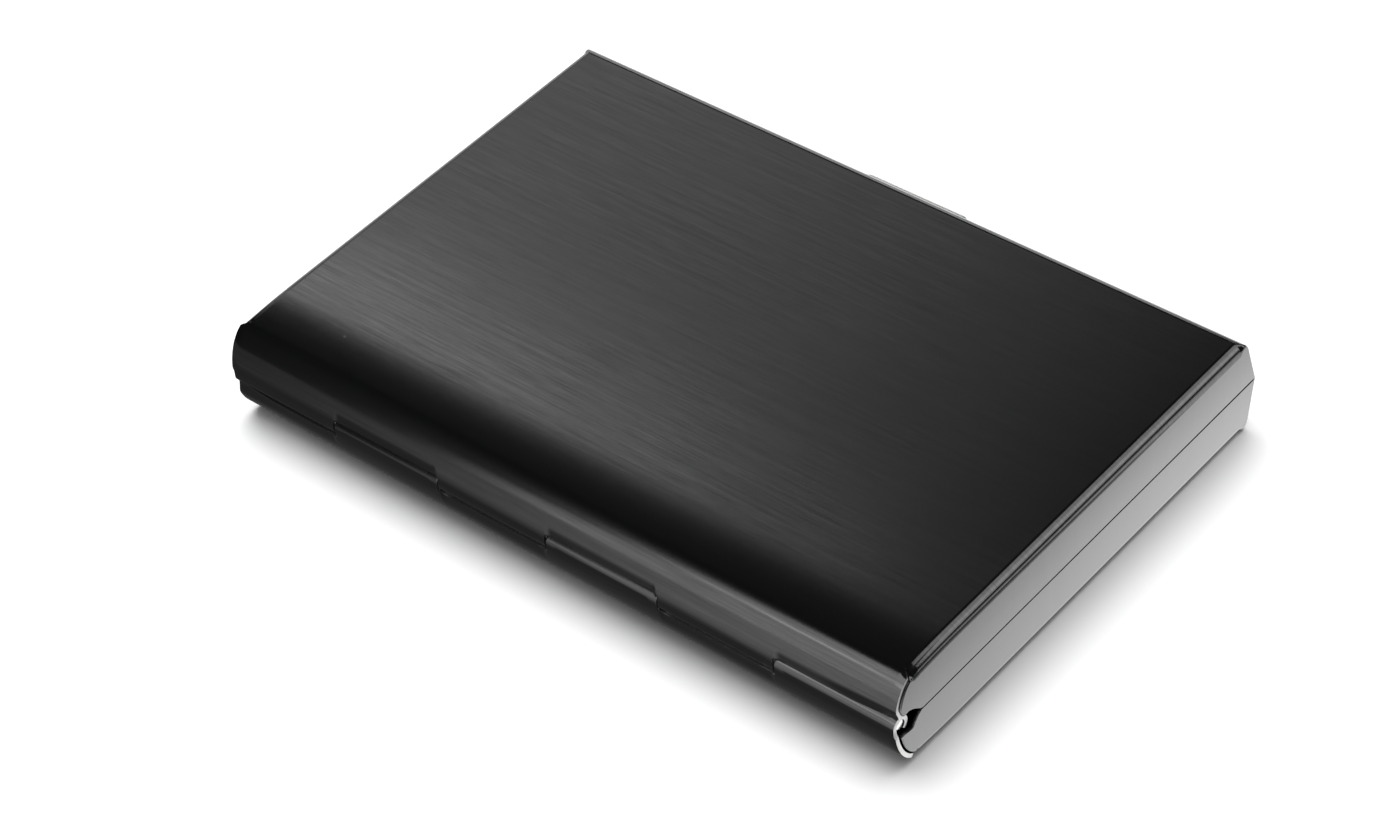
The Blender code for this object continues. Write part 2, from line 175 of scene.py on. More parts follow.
tone = math_node(grain, "MULTIPLY", math_node(grain, "SUBTRACT", mixed, 0.5), depth)
grain.links.new(tone, grain_out.inputs["Tone"])

# %% [markdown]
# Handling rubs the coating off the tightest edges first. Pointiness tells a shader how convex
# the surface is, and a little noise breaks the line up. Dust is a sparse scatter of Voronoi
# cells: most cells are empty, and the few that pass a threshold hold one tiny dot.

# %% Edge wear and dust
wear, wear_in, wear_out = group(
    "edge_wear", {"Vector": (VECTOR, None), "Amount": (FLOAT, 0.5)}, {"Mask": FLOAT}
)
shape = node(wear, "ShaderNodeNewGeometry")
convex = node(wear, "ShaderNodeMapRange", {"Value": shape.outputs["Pointiness"], "From Min": 0.52, "From Max": 0.6})
breaks = node(wear, "ShaderNodeTexNoise", {"Vector": wear_in.outputs["Vector"], "Scale": 900.0, "Detail": 4.0})
worn = math_node(wear, "MULTIPLY", convex.outputs[0], breaks.outputs[0])
wear.links.new(math_node(wear, "MULTIPLY", worn, wear_in.outputs["Amount"]), wear_out.inputs["Mask"])

dust, dust_in, dust_out = group(
    "dust_specks",
    {"Vector": (VECTOR, None), "Spacing mm": (FLOAT, 4.0), "Share": (FLOAT, 0.2), "Radius": (FLOAT, 0.03)},
    {"Mask": FLOAT},
)
cells = node(
    dust,
    "ShaderNodeTexVoronoi",
    {"Vector": dust_in.outputs["Vector"], "Scale": math_node(dust, "DIVIDE", 1000.0, dust_in.outputs["Spacing mm"])},
)
near = math_node(dust, "LESS_THAN", cells.outputs["Distance"], dust_in.outputs["Radius"])
lottery = node(dust, "ShaderNodeSeparateColor", {0: cells.outputs["Color"]})
chosen = math_node(dust, "LESS_THAN", lottery.outputs[0], dust_in.outputs["Share"])
dust.links.new(math_node(dust, "MULTIPLY", near, chosen), dust_out.inputs["Mask"])
print("node groups:", sorted(tree.name for tree in bpy.data.node_groups))

# %% [markdown]
# Every steel in the case uses the same recipe with its own numbers: a base colour that the
# grain darkens and lightens, a roughness that it shifts, and a bump from its height. The
# black shells read the grain from a UV map laid out like the flat blank before it was
# pressed, so the scratches run on round each bend as they do on real sheet.


# %% Brushed metal recipe
def brushed_metal(
    name, colour, roughness, length=6.0, width=0.12, bump=0.02, contrast=0.5, rough_shift=0.15,
    wear_amount=0.0, wear_colour=(0.5, 0.5, 0.5), dust_share=0.0, uv=None, metallic=1.0,
):
    """A metal finish with grain, edge wear and dust, on Object coordinates or on a UV map."""
    made = bpy.data.materials.new(name)
    made.use_nodes = True
    tree = made.node_tree
    shader = tree.nodes["Principled BSDF"]
    shader.inputs["Metallic"].default_value = metallic
    place = node(tree, "ShaderNodeTexCoord")
    where = place.outputs["Object"]
    lines = where
    if uv:
        lines = node(tree, "ShaderNodeUVMap", uv_map=uv).outputs[0]
    brush = node(tree, "ShaderNodeGroup", node_tree=grain)
    tree.links.new(lines, brush.inputs["Vector"])
    brush.inputs["Length mm"].default_value = length
    brush.inputs["Width mm"].default_value = width
    dark = tuple(c * (1 - contrast) for c in colour)
    light = tuple(min(1.0, c * (1 + contrast)) for c in colour)
    share = node(tree, "ShaderNodeMapRange", {"Value": brush.outputs["Tone"], "From Min": -0.25, "From Max": 0.25})
    base = node(
        tree, "ShaderNodeMix", data_type="RGBA"
    )
    tree.links.new(share.outputs[0], base.inputs["Factor"])
    base.inputs[6].default_value = (*dark, 1)
    base.inputs[7].default_value = (*light, 1)
    colour_out = base.outputs[2]
    if wear_amount:
        edge = node(tree, "ShaderNodeGroup", node_tree=wear)
        tree.links.new(where, edge.inputs["Vector"])
        edge.inputs["Amount"].default_value = wear_amount
        rubbed = node(tree, "ShaderNodeMix", data_type="RGBA")
        tree.links.new(edge.outputs["Mask"], rubbed.inputs["Factor"])
        tree.links.new(colour_out, rubbed.inputs[6])
        rubbed.inputs[7].default_value = (*wear_colour, 1)
        colour_out = rubbed.outputs[2]
    if dust_share:
        specks = node(tree, "ShaderNodeGroup", node_tree=dust)
        tree.links.new(where, specks.inputs["Vector"])
        specks.inputs["Share"].default_value = dust_share
        dusty = node(tree, "ShaderNodeMix", data_type="RGBA")
        tree.links.new(specks.outputs["Mask"], dusty.inputs["Factor"])
        tree.links.new(colour_out, dusty.inputs[6])
        dusty.inputs[7].default_value = (0.75, 0.75, 0.75, 1)
        colour_out = dusty.outputs[2]
    tree.links.new(colour_out, shader.inputs["Base Color"])
    rough = node(
        tree,
        "ShaderNodeMapRange",
        {
            "Value": brush.outputs["Tone"],
            "From Min": -0.25,
            "From Max": 0.25,
            "To Min": roughness * (1 + rough_shift),
            "To Max": roughness * (1 - rough_shift),
        },
    )
    tree.links.new(rough.outputs[0], shader.inputs["Roughness"])
    relief = node(tree, "ShaderNodeBump", {"Height": brush.outputs["Height"], "Strength": 1.0, "Distance": bump * MM})
    tree.links.new(relief.outputs[0], shader.inputs["Normal"])
    return made


# %% The metals
BLACK = (0.13, 0.13, 0.132)
black_brushed = brushed_metal("black_brushed", BLACK, 0.14, uv="blank", bump=0.0035, contrast=0.3, rough_shift=0.3, dust_share=0.03)
black_end = brushed_metal("black_end", BLACK, 0.25, length=9.0, width=0.3, uv="blank", bump=0.0005, contrast=0.03, rough_shift=0.05)
black_inside = brushed_metal("black_inside", (0.1, 0.1, 0.102), 0.4, uv="blank", bump=0.002, contrast=0.15)
cut_edge = brushed_metal("cut_edge", (0.38, 0.38, 0.376), 0.3, length=0.6, width=0.1, bump=0.01, contrast=0.25)
pin_steel = brushed_metal("pin_steel", (0.62, 0.62, 0.61), 0.22, length=2.0, width=0.1, bump=0.001, contrast=0.1)
silver_brushed = brushed_metal("silver_brushed", (0.85, 0.85, 0.84), 0.3, length=5.0, width=0.1, bump=0.003, contrast=0.12)
latch_steel = brushed_metal("latch_steel", (0.45, 0.44, 0.43), 0.34, length=3.0, width=0.12, bump=0.002, contrast=0.2)
print("metals:", len(bpy.data.materials))

# %% [markdown]
# The pocket panels are moulded plastic. A mould leaves a fine pebble on the surface, and cards
# sliding past rub it a little shinier in patches. A second group gives both as a height and a
# mask, and the panels and the folded film use it at their own scales.


# %% Moulded plastic
mould, mould_in, mould_out = group(
    "mould_texture",
    {"Vector": (VECTOR, None), "Pebble mm": (FLOAT, 0.15)},
    {"Height": FLOAT, "Rubbed": FLOAT},
)
pebble_scale = math_node(mould, "DIVIDE", 1000.0, mould_in.outputs["Pebble mm"])
pebble = node(
    mould, "ShaderNodeTexNoise", {"Vector": mould_in.outputs["Vector"], "Scale": pebble_scale, "Detail": 2.0}
)
mould.links.new(pebble.outputs[0], mould_out.inputs["Height"])
rub = node(mould, "ShaderNodeTexNoise", {"Vector": mould_in.outputs["Vector"], "Scale": 70.0, "Detail": 4.0})
rubbed_mask = node(mould, "ShaderNodeMapRange", {"Value": rub.outputs[0], "From Min": 0.4, "From Max": 0.7})
mould.links.new(rubbed_mask.outputs[0], mould_out.inputs["Rubbed"])


def plastic(name, colour, roughness, pebble_mm, bump):
    """A moulded black plastic, a little lighter and shinier where it is rubbed."""
    made = bpy.data.materials.new(name)
    made.use_nodes = True
    tree = made.node_tree
    shader = tree.nodes["Principled BSDF"]
    place = node(tree, "ShaderNodeTexCoord")
    texture = node(tree, "ShaderNodeGroup", node_tree=mould)
    tree.links.new(place.outputs["Object"], texture.inputs["Vector"])
    texture.inputs["Pebble mm"].default_value = pebble_mm
    tint = node(tree, "ShaderNodeMix", {"Factor": texture.outputs["Rubbed"]}, data_type="RGBA")
    tint.inputs[6].default_value = (*colour, 1)
    tint.inputs[7].default_value = (*(c * 1.5 for c in colour), 1)
    tree.links.new(tint.outputs[2], shader.inputs["Base Color"])
    sheen = node(
        tree,
        "ShaderNodeMapRange",
        {"Value": texture.outputs["Rubbed"], "To Min": roughness, "To Max": roughness * 0.7},
    )
    tree.links.new(sheen.outputs[0], shader.inputs["Roughness"])
    relief = node(tree, "ShaderNodeBump", {"Height": texture.outputs["Height"], "Distance": bump * MM})
    tree.links.new(relief.outputs[0], shader.inputs["Normal"])
    return made


panel_plastic = plastic("panel_plastic", (0.02, 0.02, 0.021), 0.5, 0.12, 0.01)
web_film = plastic("web_film", (0.028, 0.028, 0.03), 0.42, 0.6, 0.02)

# %% [markdown]
# ## The section of a shell
# Each shell is one sheet of steel. Its outline, seen from the end, goes up the leaning front
# wall, round a small corner, across the flat top, and down a deep roll on the hinge side. It
# could be a solid block hollowed out, but a sheet that is extruded and then thickened keeps an
# even wall and clean bends. Each row of the outline holds its place, its outward direction and
# its distance along the blank.


# %% Outline rows
def front_rows():
    """(y, height above the seam, outward y, outward z) from the front wall to the crown."""
    lean_cos, lean_sin = math.cos(FRONT_LEAN), math.sin(FRONT_LEAN)
    found = []
    for height in (HALF_SEAM / MM, 1.0, 2.0, 2.9, 3.45, 4.1):
        found.append((FRONT_Y - height * MM * math.tan(FRONT_LEAN), height * MM, lean_cos, lean_sin))
    setback = FRONT_CORNER * math.tan((math.pi / 2 - FRONT_LEAN) / 2)
    corner_y = FRONT_Y - HALF_HEIGHT * math.tan(FRONT_LEAN) - setback
    for step in range(9):
        angle = FRONT_LEAN + (math.pi / 2 - FRONT_LEAN) * step / 8
        y = corner_y + FRONT_CORNER * math.cos(angle)
        height = HALF_HEIGHT - FRONT_CORNER * (1 - math.sin(angle))
        found.append((y, height, math.cos(angle), math.sin(angle)))
    for step in range(1, 7):
        found.append((corner_y + (CROWN_Y - corner_y) * step / 6, HALF_HEIGHT, 0.0, 1.0))
    return found


def roll_row(turn):
    """A row on the roll, which is a quarter of an ellipse: turn 0 points straight up."""
    out = Vector((-math.sin(turn) / ROLL_DEPTH, math.cos(turn) / ROLL_RISE)).normalized()
    return (BACK_Y + ROLL_DEPTH * (1 - math.sin(turn)), ROLL_RISE * math.cos(turn), out.x, out.y)


def crown_rows(steps):
    """The top falls away very slightly towards the hinge, ever faster, and meets the roll."""
    end_y, end_height = roll_row(FIRST_TURN)[:2]
    drop, reach = HALF_HEIGHT - end_height, CROWN_Y - end_y
    found = []
    for step in range(1, steps + 1):
        share = step / steps
        tilt = math.atan(3 * drop / reach * share**2)
        height = HALF_HEIGHT - drop * share**3
        found.append((CROWN_Y - reach * share, height, -math.sin(tilt), math.cos(tilt)))
    return found


def around(centre, radius, start, turn, steps):
    """Rows on a circle: its angles run from straight back, over the top."""
    found = []
    for step in range(1, steps + 1):
        angle = start + turn * step / steps
        out_y, out_z = -math.cos(angle), math.sin(angle)
        found.append((centre[0] + radius * out_y, centre[1] + radius * out_z, out_y, out_z))
    return found


CUT_BACK = 1.2 * MM
FIRST_TURN = math.radians(3.1)
last_turn = math.acos(CUT_BACK / ROLL_RISE)
ROLL_STEPS = 26
flat_rows = front_rows() + crown_rows(10)
roll_rows = [roll_row(FIRST_TURN + (last_turn - FIRST_TURN) * step / ROLL_STEPS) for step in range(1, ROLL_STEPS + 1)]
TONGUE_LEAN = math.radians(4)
CURL_TURN = -math.radians(240)
cut_y = roll_rows[-1][0]
tongue_rows = [(cut_y + (BACK_Y - cut_y) * 0.6, 0.75 * MM, -math.cos(TONGUE_LEAN), math.sin(TONGUE_LEAN))]
tongue_rows += around((HINGE_Y, 0.0), CURL_RADIUS, TONGUE_LEAN, CURL_TURN, 17)
rows = flat_rows + roll_rows + tongue_rows
NOTCH_ROW = 4
LAST_WALL_ROW = 5
FIRST_ROLL = len(flat_rows) - 1
CUT_ROW = FIRST_ROLL + len(roll_rows)
blank_v = [0.0]
for before, after in zip(rows, rows[1:]):
    blank_v.append(blank_v[-1] - math.hypot(after[0] - before[0], after[1] - before[1]))
shift_v = rows[FIRST_ROLL][0] - blank_v[FIRST_ROLL]
blank_v = [v + shift_v for v in blank_v]
print("outline rows:", len(rows), "sheet width, mm:", round((blank_v[0] - blank_v[-1]) / MM, 1))

# %% [markdown]
# Along the hinge the sheet alternates: a tongue runs on and curls round the pin, and beside it
# the edge is cut back to clear the other shell's tongue. The blank is divided along X so that
# a column of points lies on each side of every slit, with a few more close by where the metal
# is drawn in.

# %% Columns along the hinge
TONGUE_WIDTH = 2 * TONGUE_END / TONGUE_COUNT
tongue_edges = [TONGUE_WIDTH * i - TONGUE_END for i in range(TONGUE_COUNT + 1)]
HALF_SLIT = 0.1 * MM
BEND_X = HALF_LENGTH - END_BEND
NOTCH_X = button_high.x + 0.3 * MM
ROLL_END = HALF_LENGTH - 0.2 * MM


def columns():
    """Places along X where the blank gets a column of points."""
    found = {-BEND_X, BEND_X, -NOTCH_X, NOTCH_X}
    for edge in tongue_edges[1:-1]:
        for side in (-1, 1):
            for away in (0.1, 0.22, 0.36, 0.55, 0.8, 1.15, 1.6):
                found.add(edge + side * away * MM)
    for step in range(-11, 12):
        place = step * 4.2 * MM
        if all(abs(place - other) > 0.6 * MM for other in found):
            found.add(place)
    return sorted(found)


stations = columns()
print("columns:", len(stations))


# %% [markdown]
# The edge that is cut back turns in to meet the top of the other shell's curl, and the inner
# corners of the notches on the slanted side are rounded by the punch. Both are moves of
# points that the grid already has.


# %% Shaping near the tongues
def smooth(t):
    """Smoothstep of t, held between 0 and 1."""
    t = min(1.0, max(0.0, t))
    return t * t * (3 - 2 * t)


def spans(first):
    """(start, end) of every second tongue."""
    return [(tongue_edges[i], tongue_edges[i + 1]) for i in range(first, TONGUE_COUNT, 2)]


def away_from(x, own):
    """How far a place along X lies outside the shell's own tongues."""
    return min(max(start - x, x - end, 0.0) for start, end in own)


def drawn(x, height, own, depth):
    """How far the cut-back zone is pressed inwards at a place."""
    turn = smooth((3.0 * MM - height) / (3.0 * MM - CUT_BACK))
    near_end = smooth((abs(x) - 41 * MM) / (6.5 * MM))
    return depth * (1 + 2.5 * near_end) * turn * smooth((away_from(x, own) - HALF_SLIT) / (0.5 * MM))


def draw_in(point, row, own, falling, depth):
    """Move a point of the cut-back zone inwards, and round the notch's corner."""
    point.y += drawn(point.x, point.z, own, depth)
    if row != CUT_ROW or away_from(point.x, own) == 0.0:
        return
    for edge in tongue_edges[1:-1]:
        reach = abs(point.x - edge) - HALF_SLIT
        radius = (0.8 if edge in falling else 0.2) * MM
        if 0 <= reach < radius:
            point.z -= radius - math.sqrt(radius**2 - (radius - reach) ** 2)


# %% [markdown]
# ## Pressing a shell
# The outline is a chain of edges, and extruding it from column to column gives the sheet.
# Faces in the notches are deleted. Each end is a second chain, extruded round the end bend,
# and closed with one flat face whose lower edge follows the seam and the opening round the
# pin. The finished surface is still one layer: a Solidify modifier gives it the 0.5 mm wall
# and its bright cut edges, and a Bevel takes the burr off them.


# %% Chains of edges
def chain(bm, points):
    """New vertices joined by edges in a row."""
    verts = [bm.verts.new(point) for point in points]
    return verts, [bm.edges.new(pair) for pair in zip(verts, verts[1:])]


def pull(bm, edges):
    """Extrude a chain: the faces' far edges and the new vertices."""
    out = bmesh.ops.extrude_edge_only(bm, edges=edges)["geom"]
    verts = [item for item in out if isinstance(item, bmesh.types.BMVert)]
    fresh = set(verts)
    far = [item for item in out if isinstance(item, bmesh.types.BMEdge) and set(item.verts) <= fresh]
    return verts, far


# %% The long sheet
def long_sheet(bm, row_of, own, falling, depth):
    """The sheet between the two end bends, with its notches and curled tongues."""
    verts, edges = chain(bm, [(stations[0], row[0], row[1]) for row in rows])
    for number, vert in enumerate(verts):
        vert[row_of] = number
    for before, after in zip(stations, stations[1:]):
        verts, edges = pull(bm, edges)
        bmesh.ops.translate(bm, verts=verts, vec=(after - before, 0, 0))
    for vert in bm.verts:
        if abs(vert.co.x) > BEND_X - 1e-7 and vert[row_of] <= FIRST_ROLL:
            vert.co.x = math.copysign(bend_start(vert[row_of]), vert.co.x)
    for side in (-1, 1):
        rim = [
            edge
            for edge in bm.edges
            if all(abs(v.co.x - side * BEND_X) < 1e-7 and v[row_of] >= FIRST_ROLL for v in edge.verts)
        ]
        verts, _ = pull(bm, rim)
        for vert in verts:
            vert.co.x = side * roll_end(vert[row_of])
    unwanted = []
    for face in bm.faces:
        middle = face.calc_center_median()
        lowest = max(v[row_of] for v in face.verts)
        outside_tongue = away_from(middle.x, [(a + HALF_SLIT, b - HALF_SLIT) for a, b in own]) > 0
        last_span = abs(middle.x) > tongue_edges[-1] - HALF_SLIT
        if lowest > CUT_ROW and outside_tongue and not (last_span and own_end(own, middle.x)):
            unwanted.append(face)
        elif lowest <= NOTCH_ROW and abs(middle.x) < NOTCH_X:
            unwanted.append(face)
    bmesh.ops.delete(bm, geom=unwanted, context="FACES")
    for vert in bm.verts:
        if FIRST_ROLL < vert[row_of] <= CUT_ROW:
            draw_in(vert.co, vert[row_of], own, falling, depth)
    # The hinge's close columns aren't needed in the flat front wall, and very small faces shade badly.
    spare = [
        vert
        for vert in bm.verts
        if vert[row_of] < LAST_WALL_ROW and any(abs(vert.co.x - edge) < 1.5 * MM for edge in tongue_edges[1:-1])
    ]
    bmesh.ops.dissolve_verts(bm, verts=spare)


def own_end(own, x):
    """Whether the shell's own tongue reaches the case's end on x's side."""
    return any(start < x < end or abs(x) - max(abs(start), abs(end)) < 0.3 * MM and start * x > 0 and abs(x) > min(abs(start), abs(end)) for start, end in own)


def bend_start(row):
    """Where the end bend begins: the upright corner at the front is much tighter than the top."""
    radius = 0.3 * MM + (END_BEND - 0.3 * MM) * smooth((row - 10) / 4)
    return HALF_LENGTH - radius


def roll_end(row):
    """Where the roll's cut end lies along X: it tucks in behind the end bend near the top."""
    if row > CUT_ROW:
        return TONGUE_END - 0.1 * MM
    if row == FIRST_ROLL:
        return BEND_X
    start = BEND_X + 0.5 * MM
    return start + (ROLL_END - start) * smooth((rows[FIRST_ROLL][1] - rows[row][1]) / (0.3 * MM))


# %% [markdown]
# The end wall grows out of the top along the end bend. Beside the roll it is cut free and lies
# just inside it, so the roll's bright cut edge shows. The opening round the pin differs: the
# upper wall is arched over it, and the lower wall dips in an S.

# %% The end walls
BEND_STEPS = 7
ARCH = [(-32.5, 1.62), (-31.9, 1.6), (-31.2, 1.48), (-30.5, 1.15), (-29.9, 0.7), (-29.4, 0.28), (-29.0, 0.1)]
S_EDGE = [
    (-32.6, 1.42), (-32.0, 1.38), (-31.4, 1.5), (-30.9, 1.55), (-30.5, 1.4), (-30.15, 0.95), (-29.7, 0.45), (-29.2, 0.1)
]


def end_wall(bm, row_of, wall_of, side, own, opening, slot, depth):
    """One end's bend and its flat wall."""
    last = CUT_ROW - 1

    def bent(row, turn):
        y, z, out_y, out_z = rows[row]
        if row == 0:
            out_y, out_z = 1 / math.cos(FRONT_LEAN), 0.0
        start_x, inset = bend_start(row), 0.0
        if row > FIRST_ROLL:
            start_x = roll_end(row) + 0.03 * MM
            inset = SHEET + slot * smooth((row - FIRST_ROLL) / 6) + 0.02 * MM
        radius = max(HALF_LENGTH - start_x, 0.15 * MM)
        inset += radius * (1 - math.cos(turn))
        x = start_x + (HALF_LENGTH - start_x) * math.sin(turn)
        y += drawn(side * ROLL_END, z, own, depth) if row > FIRST_ROLL else 0.0
        return Vector((side * x, y - out_y * inset, z - out_z * inset))

    verts, edges = chain(bm, [bent(row, 0.0) for row in range(last + 1)])
    for row, vert in enumerate(verts):
        vert[row_of] = row
    for step in range(1, BEND_STEPS + 1):
        verts, edges = pull(bm, edges)
        for vert in verts:
            vert.co = bent(vert[row_of], math.pi / 2 * step / BEND_STEPS)
    by_row = sorted(verts, key=lambda vert: vert[row_of])
    corner_y = by_row[-1].co.y + 0.15 * MM
    edge_points = [Vector((side * HALF_LENGTH, y * MM, z * MM)) for y, z in opening if y * MM > corner_y]
    lower, lower_edges = chain(bm, [by_row[-1].co.copy(), *edge_points, by_row[0].co.copy()])
    bmesh.ops.remove_doubles(bm, verts=[lower[0], by_row[-1], lower[-1], by_row[0]], dist=1e-7)
    loop = [
        edge
        for edge in bm.edges
        if len(edge.link_faces) < 2 and all(abs(abs(v.co.x) - HALF_LENGTH) < 1e-8 and v.co.x * side > 0 for v in edge.verts)
    ]
    wall = bmesh.ops.contextual_create(bm, geom=loop)["faces"]
    for face in wall:
        face.material_index = 1
        face[wall_of] = 1
    return wall


# %% Lay the blank's map and thicken
def lay_blank(bm, row_of, wall_of):
    """A UV map in metres that unrolls the sheet: U along the grain, V across it."""
    uv = bm.loops.layers.uv.new("blank")
    for face in bm.faces:
        for loop in face.loops:
            point = loop.vert.co
            past = max(0.0, abs(point.x) - BEND_X) / END_BEND
            u = min(abs(point.x), BEND_X) + END_BEND * math.asin(min(1.0, past))
            v = blank_v[loop.vert[row_of]]
            if face[wall_of]:
                u, v = HALF_LENGTH + HALF_HEIGHT - point.z, point.y
            loop[uv].uv = (math.copysign(u, point.x), v)


def finish_sheet(bm, name, turn_over):
    """A thick, bevelled shell from its one-layer surface."""
    if turn_over:
        bmesh.ops.scale(bm, vec=(1, 1, -1), verts=bm.verts)
    bmesh.ops.translate(bm, vec=(0, 0, SEAM_Z), verts=bm.verts)
    bmesh.ops.recalc_face_normals(bm, faces=bm.faces)
    flat_top = max(bm.faces, key=lambda face: abs(face.normal.z) * face.calc_area())
    outward = -1 if turn_over else 1
    if flat_top.normal.z * outward < 0:
        bmesh.ops.reverse_faces(bm, faces=bm.faces)
    mesh = bpy.data.meshes.new(name)
    bm.to_mesh(mesh)
    bm.free()
    mesh.shade_smooth()
    made = bpy.data.objects.new(name, mesh)
    bpy.context.scene.collection.objects.link(made)
    for finish in (black_brushed, black_end, cut_edge, cut_edge, black_inside, black_inside):
        mesh.materials.append(finish)
    wall = made.modifiers.new("wall", "SOLIDIFY")
    wall.thickness = SHEET
    wall.offset = -1
    wall.use_even_offset = True
    wall.use_quality_normals = True
    wall.material_offset = 4
    wall.material_offset_rim = 2
    burr = made.modifiers.new("burr", "BEVEL")
    burr.width = 0.05 * MM
    burr.segments = 2
    burr.limit_method = "ANGLE"
    burr.angle_limit = math.radians(50)
    weigh = made.modifiers.new("weigh", "WEIGHTED_NORMAL")
    weigh.keep_sharp = True
    return made


# %% Press both shells
def press_shell(name, own, opening, slot, depth, turn_over):
    """One complete shell."""
    bm = bmesh.new()
    row_of = bm.verts.layers.int.new("row")
    wall_of = bm.faces.layers.int.new("wall")
    falling = tongue_edges[2:-1:2]
    long_sheet(bm, row_of, own, falling, depth)
    for side in (-1, 1):
        end_wall(bm, row_of, wall_of, side, own, opening, slot, depth)
    bmesh.ops.remove_doubles(bm, verts=bm.verts, dist=0.002 * MM)
    lay_blank(bm, row_of, wall_of)
    faces = len(bm.faces)
    made = finish_sheet(bm, name, turn_over)
    print(name, "faces before thickening:", faces)
    return made


lid_shell = press_shell("lid_shell", spans(0), ARCH, 0.03 * MM, 0.2 * MM, turn_over=False)
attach(lid_shell, "lid")
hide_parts("upper_shell")
base_shell = press_shell("base_shell", spans(1), S_EDGE, 0.22 * MM, 0.15 * MM, turn_over=True)
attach(base_shell, "lower_case")
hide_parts("lower_shell")

# %% [markdown]
# ## Pin and button
# The pin is a length of steel wire with its ends turned flat and lightly chamfered. The button
# is a solid block of brushed silver steel: its ends are rounded first, and then its outer rim,
# so the thumb meets no edge.


# %% Solid pieces
def solid(bm, name, body, slot, *finishes, replaced=(), smooth_angle=35):
    """Finish a closed bmesh as a piece that rides on a body, or on none."""
    bmesh.ops.recalc_face_normals(bm, faces=bm.faces)
    mesh = bpy.data.meshes.new(name)
    bm.to_mesh(mesh)
    bm.free()
    mesh.shade_smooth()
    mesh.set_sharp_from_angle(angle=math.radians(smooth_angle))
    for finish in finishes:
        mesh.materials.append(finish)
    made = bpy.data.objects.new(name, mesh)
    bpy.context.scene.collection.objects.link(made)
    if body:
        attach(made, body)
    if replaced:
        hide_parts(*replaced)
    print(name, "faces:", len(mesh.polygons))
    return made


def block(low, high):
    """A box between two corners."""
    bm = bmesh.new()
    bmesh.ops.create_cube(bm, size=1.0)
    bmesh.ops.scale(bm, verts=bm.verts, vec=Vector(high) - Vector(low))
    bmesh.ops.translate(bm, verts=bm.verts, vec=(Vector(low) + Vector(high)) / 2)
    return bm


def round_edges(bm, edges, radius, segments):
    """Bevel some edges to a radius."""
    bmesh.ops.bevel(
        bm, geom=list(edges), affect="EDGES", offset=radius, segments=segments, profile=0.5, material=-1
    )


# %% Hinge pin
wire = bmesh.new()
PIN_RADIUS = (pin_high.z - pin_low.z) / 2
pin_end = pin_high.x + 0.2 * MM
bmesh.ops.create_cone(wire, cap_ends=True, segments=40, radius1=PIN_RADIUS, radius2=PIN_RADIUS, depth=2 * pin_end)
round_edges(wire, [e for e in wire.edges if len({round(v.co.z, 6) for v in e.verts}) == 1], 0.12 * MM, 2)
bmesh.ops.rotate(wire, verts=wire.verts, matrix=Matrix.Rotation(math.pi / 2, 3, "Y"))
bmesh.ops.translate(wire, verts=wire.verts, vec=(0, HINGE_Y, SEAM_Z))
solid(wire, "pin", "lower_case", "bright_steel", pin_steel, replaced=["hinge_pin"])

# %% Thumb button
pad = block(button_low, button_high)
ends = [e for e in pad.edges if all(v.co.y > button_high.y - 1e-6 for v in e.verts) and abs(e.verts[0].co.x - e.verts[1].co.x) < 1e-6]
round_edges(pad, ends, 1.5 * MM, 8)
rims = [
    e
    for e in pad.edges
    if abs(e.verts[0].co.z - e.verts[1].co.z) < 1e-6 and min(v.co.y for v in e.verts) > button_low.y + 0.5 * MM
]
round_edges(pad, rims, 0.75 * MM, 5)
solid(pad, "button", "thumb_latch", "silver_brushed_steel", silver_brushed, replaced=["thumb_button"])

# %% [markdown]
# ## The latch
# The button is riveted to a hooked plate that slides in a channel, and a bowed leaf spring
# pushes it out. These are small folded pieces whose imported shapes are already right, so each
# is copied, merged, freed of its flat triangles, and given the soft edges of tumbled steel.


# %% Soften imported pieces
def softened(name, burr, body, slot, finish):
    """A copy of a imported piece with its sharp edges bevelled."""
    bm = bmesh.new()
    bm.from_mesh(bpy.data.objects[name].data)
    bmesh.ops.remove_doubles(bm, verts=bm.verts, dist=0.001 * MM)
    bmesh.ops.dissolve_limit(bm, angle_limit=math.radians(1), verts=bm.verts, edges=bm.edges)
    sharp = [e for e in bm.edges if e.is_manifold and e.calc_face_angle() > math.radians(50)]
    round_edges(bm, sharp, burr, 2)
    return solid(bm, "soft_" + name, body, slot, finish, replaced=[name])


softened("latch_plate", 0.04 * MM, "thumb_latch", "spring_steel", latch_steel)
softened("latch_bracket", 0.04 * MM, "lower_case", "spring_steel", latch_steel)
softened("striker_plate", 0.04 * MM, "lid", "spring_steel", latch_steel)

# %% [markdown]
# A rivet's head is set by a domed punch. It is turned as a profile spun round the shank's
# axis, so the dome, its rim and the shank are one smooth form.

